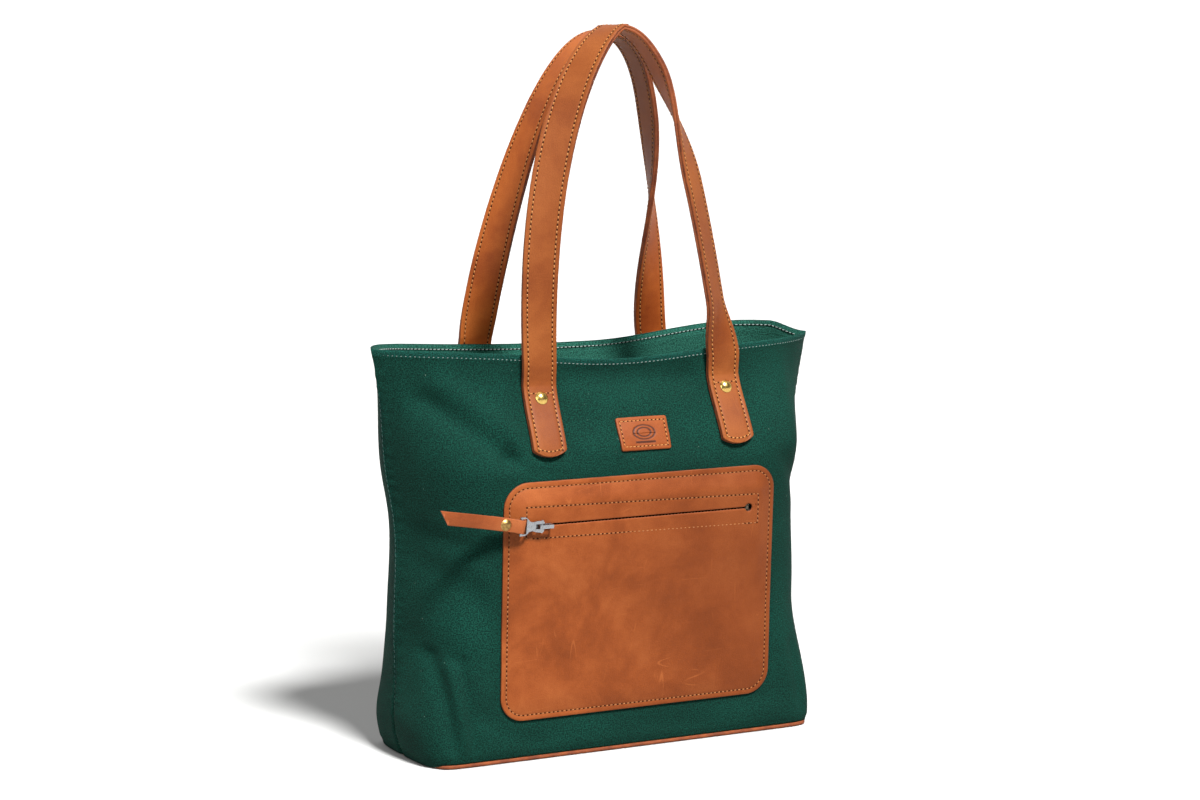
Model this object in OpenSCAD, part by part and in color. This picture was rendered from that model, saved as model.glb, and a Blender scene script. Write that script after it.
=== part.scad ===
// Canvas tote bag with leather handles, a zipped leather front pocket and a leather base.
// Millimetres, +Z up. The front faces -Y. The origin is the centre of the base, on the floor.

/* [Body] */
// Height of the rim where the handles cross it
body_h = 320; // [312:1:328]
// Width across the side seams at the rim
rim_w = 394; // [388:1:400]
// Width of the base
base_w = 350; // [346:1:352]
// Depth of the base, front to back
base_d = 120; // [116:1:124]
// Thickness of the canvas
canvas_t = 1.6; // [1.2:0.1:2]
// Height of the facing band sewn inside the rim
facing_h = 45; // [40:1:50]
// Thickness of the base leather
base_t = 3; // [2:0.5:4]

/* [Handles] */
// Width of the leather strap
strap_w = 28.5; // [26:0.5:32]
// Thickness of one of the strap's two leather layers
strap_layer_t = 2.2; // [1.8:0.1:2.4]
// Distance between the two legs of a handle, centre to centre
leg_gap = 165; // [150:1:170]
// Height of a handle's top above the rim
handle_rise = 248; // [230:1:260]
// Length of the sewn end below the fold line
sewn_end = 54; // [46:1:56]

/* [Pocket] */
// Width of the leather pocket
pocket_w = 242; // [236:1:248]
// Height of the leather pocket
pocket_h = 190; // [184:1:194]
// Distance from the pocket's middle to the bag's middle
pocket_x = 2.5; // [0:0.5:5]
// Thickness of the pocket leather
pocket_t = 1.6; // [1.4:0.1:1.8]
// Length of the slit that the zip shows through
slit_l = 190; // [180:1:192]

/* [Hidden] */
$fn = 48;

// Side of the bag: -1 is the front and 1 is the rear. End of a handle: -1 is left and 1 is right.
FRONT = -1;
REAR = 1;

canvas_green = [0.05, 0.30, 0.24];
facing_green = [0.06, 0.34, 0.27];
tan_leather = [0.74, 0.41, 0.20];
edge_leather = [0.80, 0.42, 0.24];
board_grey = [0.45, 0.44, 0.42];
tape_brown = [0.12, 0.09, 0.07];
brass = [0.78, 0.64, 0.30];
nickel = [0.75, 0.76, 0.78];

// Heights at which the canvas changes shape
foot_h = 25;                         // the wall leaves the base within this height
box_h = 110;                         // the corners are boxy up to here
shoulder_z = body_h - 92;            // the front starts to lean in towards the mouth
lean_top = body_h - 15;              // and stops here
fold_z = body_h - 25;                // the handles fold here, at the top of their sewn ends
// How far the canvas bulges and leans
front_tilt = 3.15;                   // the front leans outwards up to its shoulder
front_lean = 30;
rear_belly = 2;
side_bulge = 6;
side_rise = 30;
waist = 5;
waist_z = 190;
waist_spread = 60;

// Middle of a handle's leg, left to right: the handles sit a little to the right
leg_mid = 5;
function leg_x(end) = leg_mid + end * leg_gap / 2;

function smooth(t) = let (c = min(1, max(0, t))) c * c * (3 - 2 * c);
function mix(a, b, t) = a + (b - a) * t;
function unit(v) = v / norm(v);

// ---- Shape of the canvas wall ----

// Half of the width at height z, at the side seams
function half_w(z) =
    base_w / 2 + side_bulge * (1 - exp(-z / side_rise))
    + (rim_w / 2 - base_w / 2 - side_bulge) * pow(z / body_h, 4)
    - waist * exp(-pow((z - waist_z) / waist_spread, 2));

// Distance from the middle plane to the front or rear wall at height z
function depth(side, z) =
    base_d / 2 + (side == FRONT
        ? z * tan(front_tilt) - front_lean * smooth((z - shoulder_z) / (lean_top - shoulder_z))
        : rear_belly * (smooth(z / foot_h) + smooth((z - shoulder_z) / (lean_top - shoulder_z))));

// The plan changes from a boxy oblong at the base, through a flat-fronted one, to a long oval at the rim
function oval_blend(z) = smooth((z - shoulder_z + 17) / (body_h - shoulder_z + 17));
function box_blend(z) = smooth(z / box_h);
function plan_p(side, z) = mix(mix(24, 12, box_blend(z)), side == FRONT ? 5 : 8, oval_blend(z));
function plan_q(side, z) = mix(mix(0.3, side == FRONT ? 1.8 : 0.8, box_blend(z)), 1, oval_blend(z));

// A point on the wall, with s from -1 at the left seam to 1 at the right one, moved inwards by inset
function wall_point(side, s, z, inset) =
    [s * (half_w(z) - inset),
     side * (depth(side, z) - inset) * pow(max(0, 1 - pow(abs(s), plan_p(side, z))), plan_q(side, z)),
     z];
function wall_y(side, x, z) = wall_point(side, x / half_w(z), z, 0).y;

// Height of the rim, which dips in the middle. It stands higher at the left seam, and at the right of the rear.
function rim_z(side, x) = body_h + (side == FRONT
    ? 2.2 - 0.012 * x - 10.2 * exp(-pow((x + 5) / 92, 2))
    : (x < 10
        ? 10 * pow((x - 10) / 200, 2)
        : 12.5 * smooth((x - 25) / 150) - 6.8 * smooth((x - 180) / 17)) - 5);

// Directions along the wall at x, z, seen from outside: across it and up it, then out of it
function wall_across(side, x, z) = unit([-side, -side * (wall_y(side, x + 1, z) - wall_y(side, x - 1, z)) / 2, 0]);
function wall_out(side, x, z) =
    unit(cross(wall_across(side, x, z), [0, (wall_y(side, x, z + 1) - wall_y(side, x, z - 1)) / 2, 1]));

// Places its children on the wall at x, z, with their +Z pointing out of the bag and +Y up
module on_wall(side, x, z) {
    across = wall_across(side, x, z);
    out = wall_out(side, x, z);
    up = cross(out, across);
    multmatrix([[across.x, up.x, out.x, x],
                [across.y, up.y, out.y, wall_y(side, x, z)],
                [across.z, up.z, out.z, z],
                [0, 0, 0, 1]])
        children();
}

// A row of points across a strip that lies on the wall at a distance out from it
function strip_row(side, x, z, half, out) =
    let (p = [x, wall_y(side, x, z), z] + wall_out(side, x, z) * out, across = wall_across(side, x, z))
    [p - across * half, p + across * half];

// ---- Sheets ----

// A closed sheet between two grids of points, each a list of rows of n + 1 points
module sheet(outer, inner) {
    m = len(outer) - 1;
    n = len(outer[0]) - 1;
    size = (n + 1) * (m + 1);
    function o(i, j) = j * (n + 1) + i;
    function k(i, j) = size + j * (n + 1) + i;
    quads = concat(
        [for (j = [0:m - 1]) for (i = [0:n - 1]) [o(i, j), o(i, j + 1), o(i + 1, j + 1), o(i + 1, j)]],
        [for (j = [0:m - 1]) for (i = [0:n - 1]) [k(i, j), k(i + 1, j), k(i + 1, j + 1), k(i, j + 1)]],
        [for (i = [0:n - 1]) [o(i, 0), o(i + 1, 0), k(i + 1, 0), k(i, 0)]],
        [for (i = [0:n - 1]) [o(i + 1, m), o(i, m), k(i, m), k(i + 1, m)]],
        [for (j = [0:m - 1]) [o(0, j + 1), o(0, j), k(0, j), k(0, j + 1)]],
        [for (j = [0:m - 1]) [o(n, j), o(n, j + 1), k(n, j + 1), k(n, j)]]);
    faces = [for (q = quads) each [[q[0], q[1], q[2]], [q[0], q[2], q[3]]]];
    polyhedron(points = [for (row = concat(outer, inner)) each row], faces = faces, convexity = 8);
}

// Steps across the wall, closer together towards the rounded sides
function across(side, n) =
    [for (i = [0:n]) let (u = 2 * i / n - 1) -side * sign(u) * (1 - pow(1 - abs(u), 2.5))];

// Part of the wall from z_low up to drop below the rim, between two insets
module wall_sheet(side, z_low, drop, inset_out, inset_in, n, m) {
    function grid(inset) =
        [for (j = [0:m])
            [for (s = across(side, n))
                wall_point(side, s, mix(z_low, rim_z(side, s * rim_w / 2) - drop, j / m), inset)]];
    sheet(grid(inset_out), grid(inset_in));
}

// ---- Rivets ----

rivet_z = fold_z - 11;
rivet_out = 0.3;                                      // the sewn end's middle has moved out this far
rivet_post_r = 1.6;
rivet_clear = 0.05;
rivet_cap_r = 5.3;
rivet_cap_h = 2.2;
rivet_base_r = 4.5;
rivet_lift = 0.35;                                    // the cap stands off the curved strap
end_gap = 0.5;                                        // between the canvas and a sewn end
end_top = end_gap + 2 * strap_layer_t;                // outer face of a sewn end
rivet_inner = 3.7;                                    // depth of the rivet's inner face behind the canvas

module on_rivet(side, end) {
    on_wall(side, leg_x(end) + end * rivet_out, rivet_z) children();
}

module rivet_holes(side) {
    for (end = [-1, 1])
        rivet_hole(side, end);
}

module rivet_hole(side, end) {
    on_rivet(side, end) cylinder(r = rivet_post_r + rivet_clear, h = 40, center = true);
}

// A domed cap whose flat underside is at z = 0
module dome(r, h) {
    ball = (r * r + h * h) / (2 * h);
    intersection() {
        translate([0, 0, h - ball]) sphere(r = ball);
        cylinder(r = r + 1, h = h + 1);
    }
}

module rivet_cap(side, end) {
    color(brass)
    on_rivet(side, end) {
        translate([0, 0, end_top + rivet_lift]) dome(rivet_cap_r, rivet_cap_h);
        translate([0, 0, -rivet_inner]) cylinder(r = rivet_post_r, h = rivet_inner + end_top + rivet_lift + 0.1);
    }
}

module rivet_base(side, end) {
    color(brass)
    on_rivet(side, end)
        translate([0, 0, -rivet_inner]) rotate([180, 0, 0]) dome(rivet_base_r, 1.4);
}

// ---- Canvas body ----

facing_gap = 0.45;                                    // between a panel and the facing sewn inside it

module body_panel(side) {
    color(canvas_green)
    difference() {
        wall_sheet(side, base_t, 0, 0, canvas_t, 28, 40);
        rivet_holes(side);
    }
}

module facing(side) {
    color(facing_green)
    difference() {
        wall_sheet(side, body_h - facing_h, 0.6, canvas_t + facing_gap, canvas_t + facing_gap + 1, 28, 9);
        rivet_holes(side);
    }
}

// The two seam allowances, bound together, which stand inwards from a side seam
module seam_binding(end) {
    rows = 16;
    thick = 1.2;
    color(facing_green)
    sheet([for (j = [0:rows]) let (z = mix(base_t + 6, body_h - 2, j / rows)) binding_row(end, z, -thick)],
          [for (j = [0:rows]) let (z = mix(base_t + 6, body_h - 2, j / rows)) binding_row(end, z, thick)]);
}
function binding_row(end, z, y) =
    let (a = half_w(z) - 15, b = half_w(z) - 6)
    end < 0 ? [[-b, y, z], [-a, y, z]] : [[a, y, z], [b, y, z]];

// ---- Base ----

function base_outline(inset) =
    concat([for (s = across(FRONT, 36)) let (p = wall_point(FRONT, s, 0, inset)) [p.x, p.y]],
           [for (s = across(REAR, 36)) if (abs(s) < 1) let (p = wall_point(REAR, s, 0, inset)) [p.x, p.y]]);

module base_panel() {
    color(tan_leather) linear_extrude(base_t) polygon(base_outline(0));
}

module base_board() {
    color(board_grey) translate([0, 0, base_t]) linear_extrude(2) polygon(base_outline(canvas_t + 2));
}

// ---- Handles ----

splay = tan(2);                                       // the sewn ends lean outwards below the fold line
end_arc_r = 25;                                       // radius of the rounded tip of a sewn end

// One layer of a sewn end, from its tip up to the fold line, between two distances from the wall
module sewn_layer(side, end, low, high) {
    rows = 12;
    function row(j, out) =
        let (dist = mix(0.4, sewn_end, pow(j / rows, 1.5)),
             x = leg_x(end) + end * (sewn_end - dist) * splay,
             half = min(strap_w / 2, sqrt(2 * end_arc_r * dist - dist * dist)))
        strip_row(side, x, fold_z - sewn_end + dist, half, out);
    color(tan_leather)
    difference() {
        sheet([for (j = [0:rows]) row(j, high)], [for (j = [0:rows]) row(j, low)]);
        rivet_hole(side, end);
    }
}

// The inner layer lies on the canvas and the outer layer on the inner one.
module sewn_inner(side, end) { sewn_layer(side, end, end_gap, end_gap + strap_layer_t); }
module sewn_outer(side, end) { sewn_layer(side, end, end_gap + strap_layer_t, end_top); }

leg_out = 3.7;                                        // from the canvas to the middle of a free leg
leg_start = 1.3;                                      // gap above the sewn ends, where the strap bends
// Where the top of each handle stands
function top_x(side) = side == FRONT ? 2 : 9;
function top_y(side) = side == FRONT ? -24 : 8;
function top_z(side) = body_h + handle_rise + (side == FRONT ? 4 : 0);
function leg_y(side) = wall_y(side, leg_x(1), fold_z) + side * leg_out;

function bezier(p, t) =
    pow(1 - t, 3) * p[0] + 3 * pow(1 - t, 2) * t * p[1] + 3 * (1 - t) * t * t * p[2] + pow(t, 3) * p[3];

// Each half of a handle bends towards [x, height above the rim] and then towards [x, y] beside its top
function leg_bend(side, end) =
    side == FRONT ? (end < 0 ? [[-83, 190], [-16, -36]] : [[67, 112], [47, -32]])
                  : (end < 0 ? [[-80, 5], [-57, 5]] : [[75, 30], [74, 0]]);

// Middle of a handle's half, with t from 0 at the rim to 1 at the top
function arch_half(side, end, t) =
    let (bend = leg_bend(side, end))
    bezier([[leg_x(end), leg_y(side), body_h - 8],
            [bend[0][0], leg_y(side), body_h + bend[0][1]],
            [bend[1][0], bend[1][1], top_z(side)],
            [top_x(side), top_y(side), top_z(side)]], t);
arch_steps = 24;
function arch_path(side) =
    concat([[leg_x(-1), leg_y(side), fold_z + leg_start]],
           [for (k = [0:arch_steps]) arch_half(side, -1, k / arch_steps)],
           [for (k = [1:arch_steps]) arch_half(side, 1, 1 - k / arch_steps)],
           [[leg_x(1), leg_y(side), fold_z + leg_start]]);

// How far a handle has twisted, with up from 0 at a leg to 1 at the top: a quarter turn in all.
// The rear legs stand straight until they are clear of the rim.
rear_straight = 0.1;
function twist(side, end, up) =
    let (clear = max(0, up - rear_straight) / (1 - rear_straight))
    90 * (side == FRONT
        ? (end < 0 ? 1 - pow(1 - up, 1.1) : 0.42 * smooth(up / 0.12) + 0.58 * smooth((up - 0.38) / 0.34))
        : (end < 0 ? 1 - pow(1 - clear, 1.9) : smooth(clear / 0.62)));

// One layer of the free part of a handle
module arch_layer(side, low, high) {
    path = arch_path(side);
    last = len(path) - 1;
    function row(k, out) =
        let (t = unit(path[min(last, k + 1)] - path[max(0, k - 1)]),
             a = unit([0, -1, 0] + t * t.y),
             up = min(1, max(0, 1 - abs(k - last / 2) / arch_steps)),
             turn = twist(side, k < last / 2 ? -1 : 1, up),
             n = a * cos(turn) + cross(a, t) * sin(turn),
             w = cross(t, n))
        [path[k] - w * strap_w / 2 + n * out, path[k] + w * strap_w / 2 + n * out];
    color(tan_leather)
    sheet([for (k = [0:last]) row(k, high)], [for (k = [0:last]) row(k, low)]);
}

// ---- Label ----

label_x = 6;
label_z = 253.5;
label_w = 45.6;
label_h = 24.6;                                       // upright: it lies on the leaning part of the front

module label_patch() {
    rows = 5;
    function row(j, out) = strip_row(FRONT, label_x, label_z + label_h * (j / rows - 0.5), label_w / 2, out);
    color(tan_leather)
    sheet([for (j = [0:rows]) row(j, 2.1)], [for (j = [0:rows]) row(j, 0.4)]);
}

// ---- Zipped pocket ----
// Drawn on the flat front wall: x across, y up the wall and z out of the bag.

pocket_z = 128.4;                                     // from the base up to the pocket's middle
zip_z = 190;                                          // and up to the zip
edge_gap = 0.4;                                       // between the canvas and the pocket's edge
pocket_top = 5.9;                                     // outer face of the pocket over the zip
slit_w = 2;
slit_x = pocket_x;                                    // middle of the slit
hole_r = 3.2;                                         // round hole at each end of the slit
corner_r = 20;
slope = 13;                                           // width of the slope around the pocket's edge

module on_front() {
    translate([0, -base_d / 2, 0]) rotate([90 + front_tilt, 0, 0]) children();
}

module on_zip() {
    on_front() translate([0, zip_z, 0]) children();
}

// Four round pegs at the corners of the pocket's outline, moved in by inset, between two heights
module corner_pegs(inset, low, high) {
    r = max(4, corner_r - inset);
    for (sx = [-1, 1]) for (sy = [-1, 1])
        translate([pocket_x + sx * (pocket_w / 2 - inset - r), pocket_z + sy * (pocket_h / 2 - inset - r), low])
            cylinder(r = r, h = high - low, $fn = 32);
}

module pocket_panel() {
    under = pocket_top - pocket_t;
    color(tan_leather)
    on_front()
        difference() {
            hull() {
                corner_pegs(0, edge_gap, edge_gap + pocket_t);
                corner_pegs(slope, edge_gap, pocket_top);
            }
            hull() {
                corner_pegs(8, -1, edge_gap);
                corner_pegs(slope + 3, -1, under);
            }
            translate([slit_x - slit_l / 2, zip_z - slit_w / 2, 0]) cube([slit_l, slit_w, 12]);
            for (end = [-1, 1])
                translate([slit_x + end * slit_l / 2, zip_z, 0]) cylinder(r = hole_r, h = 12);
        }
}

// Zip chain: heights are measured out from the canvas
tape_edge = 2.2;                                      // from the middle of the chain to the tape
tape_low = 1.9;
tape_t = 0.5;
tape_l = 202;
tooth_low = 1.6;
tooth_t = 1.4;
tooth_w = 1.2;
tooth_pitch = 3;
chain_gap = 0.75;                                     // from the middle of the chain to a tooth
teeth = floor((slit_l - 14) / tooth_pitch);

// The tape runs flat beside the teeth, then steps up to where it is sewn behind the leather
module tape_profile() {
    sewn = pocket_top - pocket_t - tape_t - 0.1;
    polygon([[tape_edge, tape_low], [7, tape_low], [9, sewn], [12, sewn], [12, sewn + tape_t],
             [8.7, sewn + tape_t], [6.7, tape_low + tape_t], [tape_edge, tape_low + tape_t]]);
}

module zip_tape(up) {
    color(tape_brown)
    on_zip()
        translate([slit_x, 0, 0]) mirror([0, up > 0 ? 0 : 1, 0])
            translate([-tape_l / 2, 0, 0]) rotate([90, 0, 90]) linear_extrude(tape_l) tape_profile();
}

module zip_teeth(up) {
    color(nickel)
    on_zip()
        for (k = [0:teeth - 1])
            translate([slit_x + (k - teeth / 2) * tooth_pitch + (up > 0 ? 0 : tooth_pitch / 2),
                       up > 0 ? chain_gap : -tape_edge, tooth_low])
                cube([tooth_w, tape_edge - chain_gap, tooth_t]);
}

module zip_top_stops() {
    color(nickel)
    on_zip()
        for (up = [-1, 1])
            translate([slit_x - slit_l / 2 - 1, up > 0 ? chain_gap : -tape_edge, tooth_low])
                cube([2.4, tape_edge - chain_gap, tooth_t]);
}

module zip_bottom_stop() {
    color(nickel)
    on_zip()
        translate([slit_x + slit_l / 2 - 1.5, -tape_edge, tooth_low]) cube([3, 2 * tape_edge, tooth_t]);
}

// ---- Slider and pull ----

slider_x = slit_x - slit_l / 2 + 5.5;                 // closed end of the zip
rail_low = pocket_top + 0.8;
window_low = rail_low + 1.6;
window_h = 3.2;
pull_n = window_low + window_h / 2;                   // height of the puller's two axes
pivot_x = -3.2;                                       // from the slider's middle to the puller's pivot
puller_l = 17.8;                                      // from that pivot to the bar that holds the tab
pin_r = 0.9;
tab_slot = 12;                                        // width of the fork that holds the tab
puller_turn = 4;                                      // the puller rests turned up by this angle

module on_slider() {
    on_zip() translate([slider_x, 0, 0]) children();
}

module block(x0, x1, half_y, low, high) {
    translate([x0, -half_y, low]) cube([x1 - x0, 2 * half_y, high - low]);
}

module slider_plate(low, high) {
    translate([0, 0, low])
        linear_extrude(high - low)
            polygon([[-7, -5.4], [-7, 5.4], [0, 5], [6.5, 3.8], [6.5, -3.8], [0, -5]]);
}

module zip_slider() {
    color(nickel)
    on_slider() {
        slider_plate(0.5, 1.3);
        slider_plate(3.3, 4);
        block(-4, 4, 0.45, 1, rail_low + 0.3);
        block(-6, 6, 1.5, rail_low, window_low);
        for (end = [-1, 1])
            block(end * 5.3 - 0.7, end * 5.3 + 0.7, 1.5, window_low - 0.2, window_low + window_h + 0.2);
        block(-6, 6, 1.5, window_low + window_h, window_low + window_h + 1.2);
    }
}

// The puller's outline, with the pivot at the origin: a waisted plate, open for the bridge, with two horns for the bar
module puller_outline() {
    difference() {
        offset(r = 0.7) offset(delta = -0.7)
            polygon([[1.6, -3.6], [1.6, 3.6], [0, 4.6], [-5, 4.3], [-8.5, 3.4], [-11, 4], [-13.2, 6.4], [-15.5, 7.4],
                     [-puller_l - 1.4, 7.4], [-puller_l - 1.4, -7.4], [-15.5, -7.4], [-13.2, -6.4], [-11, -4],
                     [-8.5, -3.4], [-5, -4.3], [0, -4.6]]);
        translate([-5.6, -1.9]) square([9, 3.8]);
        translate([-puller_l - 2, -tab_slot / 2]) square([6.2, tab_slot]);
    }
}

module on_puller() {
    on_slider() translate([pivot_x, 0, pull_n]) rotate([0, 0, -puller_turn]) children();
}

module zip_puller() {
    color(nickel)
    on_puller() {
        translate([0, 0, -0.75]) linear_extrude(1.5) puller_outline();
        rotate([90, 0, 0]) cylinder(r = pin_r, h = 10, center = true);
        translate([-puller_l, 0, 0]) rotate([90, 0, 0]) cylinder(r = pin_r, h = tab_slot + 2, center = true);
    }
}

tab_tilt = 6;                                         // the tab rests turned up further by this angle
tab_w = 10.6;
tab_l = 71;
tab_t = 1.3;
loop_r = 1.75;
tab_rivet_x = -14;
tab_slant = 40;                                       // of the cut at the tab's free end

module on_tab() {
    on_puller() translate([-puller_l, 0, 0]) rotate([0, 0, -tab_tilt]) children();
}

// A strip folded round the puller's bar, cut off at a slant
module pull_tab() {
    color(edge_leather)
    on_tab()
        difference() {
            translate([0, tab_w / 2, 0]) rotate([90, 0, 0])
                linear_extrude(tab_w)
                    difference() {
                        union() {
                            circle(r = loop_r + tab_t);
                            polygon([[0, loop_r + tab_t], [-8, tab_t], [-tab_l, tab_t],
                                     [-tab_l, -tab_t], [-8, -tab_t], [0, -loop_r - tab_t]]);
                        }
                        circle(r = loop_r);
                    }
            translate([-tab_l, tab_w / 2, 0]) rotate([0, 0, tab_slant])
                translate([-20, -20, -5]) cube([20, 40, 10]);
            translate([tab_rivet_x, 0, 0]) cylinder(r = 1.25, h = 20, center = true);
        }
}

module pull_tab_rivet_cap() {
    color(brass)
    on_tab()
        translate([tab_rivet_x, 0, 0]) {
            translate([0, 0, tab_t + 0.05]) dome(4.6, 1.9);
            translate([0, 0, -tab_t - 0.05]) cylinder(r = 1.2, h = 2 * tab_t + 0.2);
        }
}

module pull_tab_rivet_base() {
    color(brass)
    on_tab()
        translate([tab_rivet_x, 0, -tab_t - 0.05]) rotate([180, 0, 0]) dome(4.2, 1.3);
}

// ---- Nodes ----

body_panel(FRONT);  // front_panel
body_panel(REAR);  // rear_panel
facing(FRONT);  // front_facing
facing(REAR);  // rear_facing
seam_binding(-1);  // left_seam_binding
seam_binding(1);  // right_seam_binding
base_panel();
base_board();
label_patch();
pocket_panel();
zip_tape(1);  // zip_tape_upper
zip_tape(-1);  // zip_tape_lower
zip_teeth(1);  // zip_teeth_upper
zip_teeth(-1);  // zip_teeth_lower
zip_top_stops();
zip_bottom_stop();
zip_slider();
zip_puller();
pull_tab();
pull_tab_rivet_cap();
pull_tab_rivet_base();

// The front handle's outer layer faces out of the bag at its legs, and so does the rear handle's.
arch_layer(FRONT, 0, strap_layer_t);  // front_handle_outer
arch_layer(FRONT, -strap_layer_t, 0);  // front_handle_inner
arch_layer(REAR, -strap_layer_t, 0);  // rear_handle_outer
arch_layer(REAR, 0, strap_layer_t);  // rear_handle_inner

sewn_outer(FRONT, -1);  // front_left_end_outer
sewn_inner(FRONT, -1);  // front_left_end_inner
rivet_cap(FRONT, -1);  // front_left_rivet_cap
rivet_base(FRONT, -1);  // front_left_rivet_base
sewn_outer(FRONT, 1);  // front_right_end_outer
sewn_inner(FRONT, 1);  // front_right_end_inner
rivet_cap(FRONT, 1);  // front_right_rivet_cap
rivet_base(FRONT, 1);  // front_right_rivet_base

sewn_outer(REAR, -1);  // rear_left_end_outer
sewn_inner(REAR, -1);  // rear_left_end_inner
rivet_cap(REAR, -1);  // rear_left_rivet_cap
rivet_base(REAR, -1);  // rear_left_rivet_base
sewn_outer(REAR, 1);  // rear_right_end_outer
sewn_inner(REAR, 1);  // rear_right_end_inner
rivet_cap(REAR, 1);  // rear_right_rivet_cap
rivet_base(REAR, 1);  // rear_right_rivet_base
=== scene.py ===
"""The looks of an open-topped canvas tote bag with leather handles, a zipped pocket and a leather base.

Shapes are in millimetres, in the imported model's frame: +Z up, the front at -Y. Meshes are made in metres.
"""

import math

import bmesh
import bpy
import numpy as np
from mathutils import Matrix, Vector


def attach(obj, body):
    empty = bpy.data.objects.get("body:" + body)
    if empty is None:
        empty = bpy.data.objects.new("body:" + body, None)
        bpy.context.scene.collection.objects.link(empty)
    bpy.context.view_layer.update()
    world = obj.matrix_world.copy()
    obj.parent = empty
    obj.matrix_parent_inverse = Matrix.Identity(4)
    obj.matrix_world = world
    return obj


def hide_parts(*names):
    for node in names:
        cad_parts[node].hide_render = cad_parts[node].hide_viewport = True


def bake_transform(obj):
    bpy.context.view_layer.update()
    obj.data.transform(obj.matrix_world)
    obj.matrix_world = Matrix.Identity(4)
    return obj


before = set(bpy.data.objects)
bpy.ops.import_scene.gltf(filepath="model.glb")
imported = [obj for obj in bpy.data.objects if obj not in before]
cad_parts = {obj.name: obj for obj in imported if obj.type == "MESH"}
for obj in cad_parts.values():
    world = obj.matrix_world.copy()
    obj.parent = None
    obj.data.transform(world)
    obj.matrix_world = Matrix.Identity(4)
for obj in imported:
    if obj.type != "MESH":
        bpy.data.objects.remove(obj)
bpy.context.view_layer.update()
random = np.random.default_rng(11)

MM = 0.001
FRONT, REAR = -1, 1
SIDE_NAMES = {FRONT: "front", REAR: "rear"}
BAG = "bag"

# ---- The canvas wall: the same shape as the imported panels, with creases added ----

BODY_H = 320
RIM_W = 394
BASE_W = 350
BASE_D = 120
BASE_T = 3
CANVAS_T = 1.6
FOOT_H = 25  # the rear swells out below this
BOX_H = 110  # the corners go from square to round below this
SHOULDER_Z = BODY_H - 92  # the walls lean in from here
LEAN_TOP = BODY_H - 15  # to here
LENS_Z = SHOULDER_Z - 17  # the plan narrows to a lens from here up
FOLD_Z = BODY_H - 25  # the handles fold here
FRONT_TILT = math.radians(3.15)
FRONT_LEAN = 30
REAR_BELLY = 2
FOOT_SWELL, FOOT_SWELL_H = 6, 30  # how far the sides swell over the foot
WAIST, WAIST_Z, WAIST_H = 5, 190, 60  # and draw in at the waist
# The plan is (1 - |s| ** P) ** Q. P and then Q, each at the foot, above it and at the rim
PLAN = {FRONT: ((24, 12, 5), (0.3, 1.8, 1)), REAR: ((24, 12, 8), (0.3, 0.8, 1))}
FRONT_SAG, SAG_X, SAG_W = 10.2, -5, 92  # how far the front rim hangs down, where, and how wide


def mix(a, b, t):
    return a + (b - a) * t


def smooth(t):
    t = np.clip(t, 0, 1)
    return t * t * (3 - 2 * t)


def unit(v):
    return v / np.maximum(np.linalg.norm(v, axis=-1, keepdims=True), 1e-12)


def bump(distance, width):
    """1 at no distance, fading to 0 over about twice the width."""
    return np.exp(-((distance / width) ** 2))


def half_w(z):
    """Half the body's width."""
    bulge = FOOT_SWELL * (1 - np.exp(-z / FOOT_SWELL_H)) - WAIST * bump(z - WAIST_Z, WAIST_H)
    return BASE_W / 2 + bulge + (RIM_W / 2 - BASE_W / 2 - FOOT_SWELL) * (z / BODY_H) ** 4


def depth(side, z):
    """How far the middle of a panel is from the bag's middle plane."""
    lean = smooth((z - SHOULDER_Z) / (LEAN_TOP - SHOULDER_Z))
    if side == FRONT:
        return BASE_D / 2 + z * math.tan(FRONT_TILT) - FRONT_LEAN * lean
    return BASE_D / 2 + REAR_BELLY * (smooth(z / FOOT_H) + lean)


def wall(side, s, z):
    """The smooth wall, with s from -1 at the left seam to 1 at the right one."""
    box = smooth(z / BOX_H)
    lens = smooth((z - LENS_Z) / (BODY_H - LENS_Z))
    p, q = [mix(mix(foot, above, box), rim, lens) for foot, above, rim in PLAN[side]]
    y = side * depth(side, z) * np.maximum(0, 1 - np.abs(s) ** p) ** q
    return np.stack([s * half_w(z), y, z], -1)


def rim_z(side, x):
    """The rim's height. The rear one rises from the middle to both seams."""
    if side == FRONT:
        return BODY_H + 2.2 - 0.012 * x - FRONT_SAG * bump(x - SAG_X, SAG_W)
    left = 10 * ((x - 10) / 200) ** 2
    right = 12.5 * smooth((x - 25) / 150) - 6.8 * smooth((x - 180) / 17)
    return BODY_H - 5 + np.where(x < 10, left, right)


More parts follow.
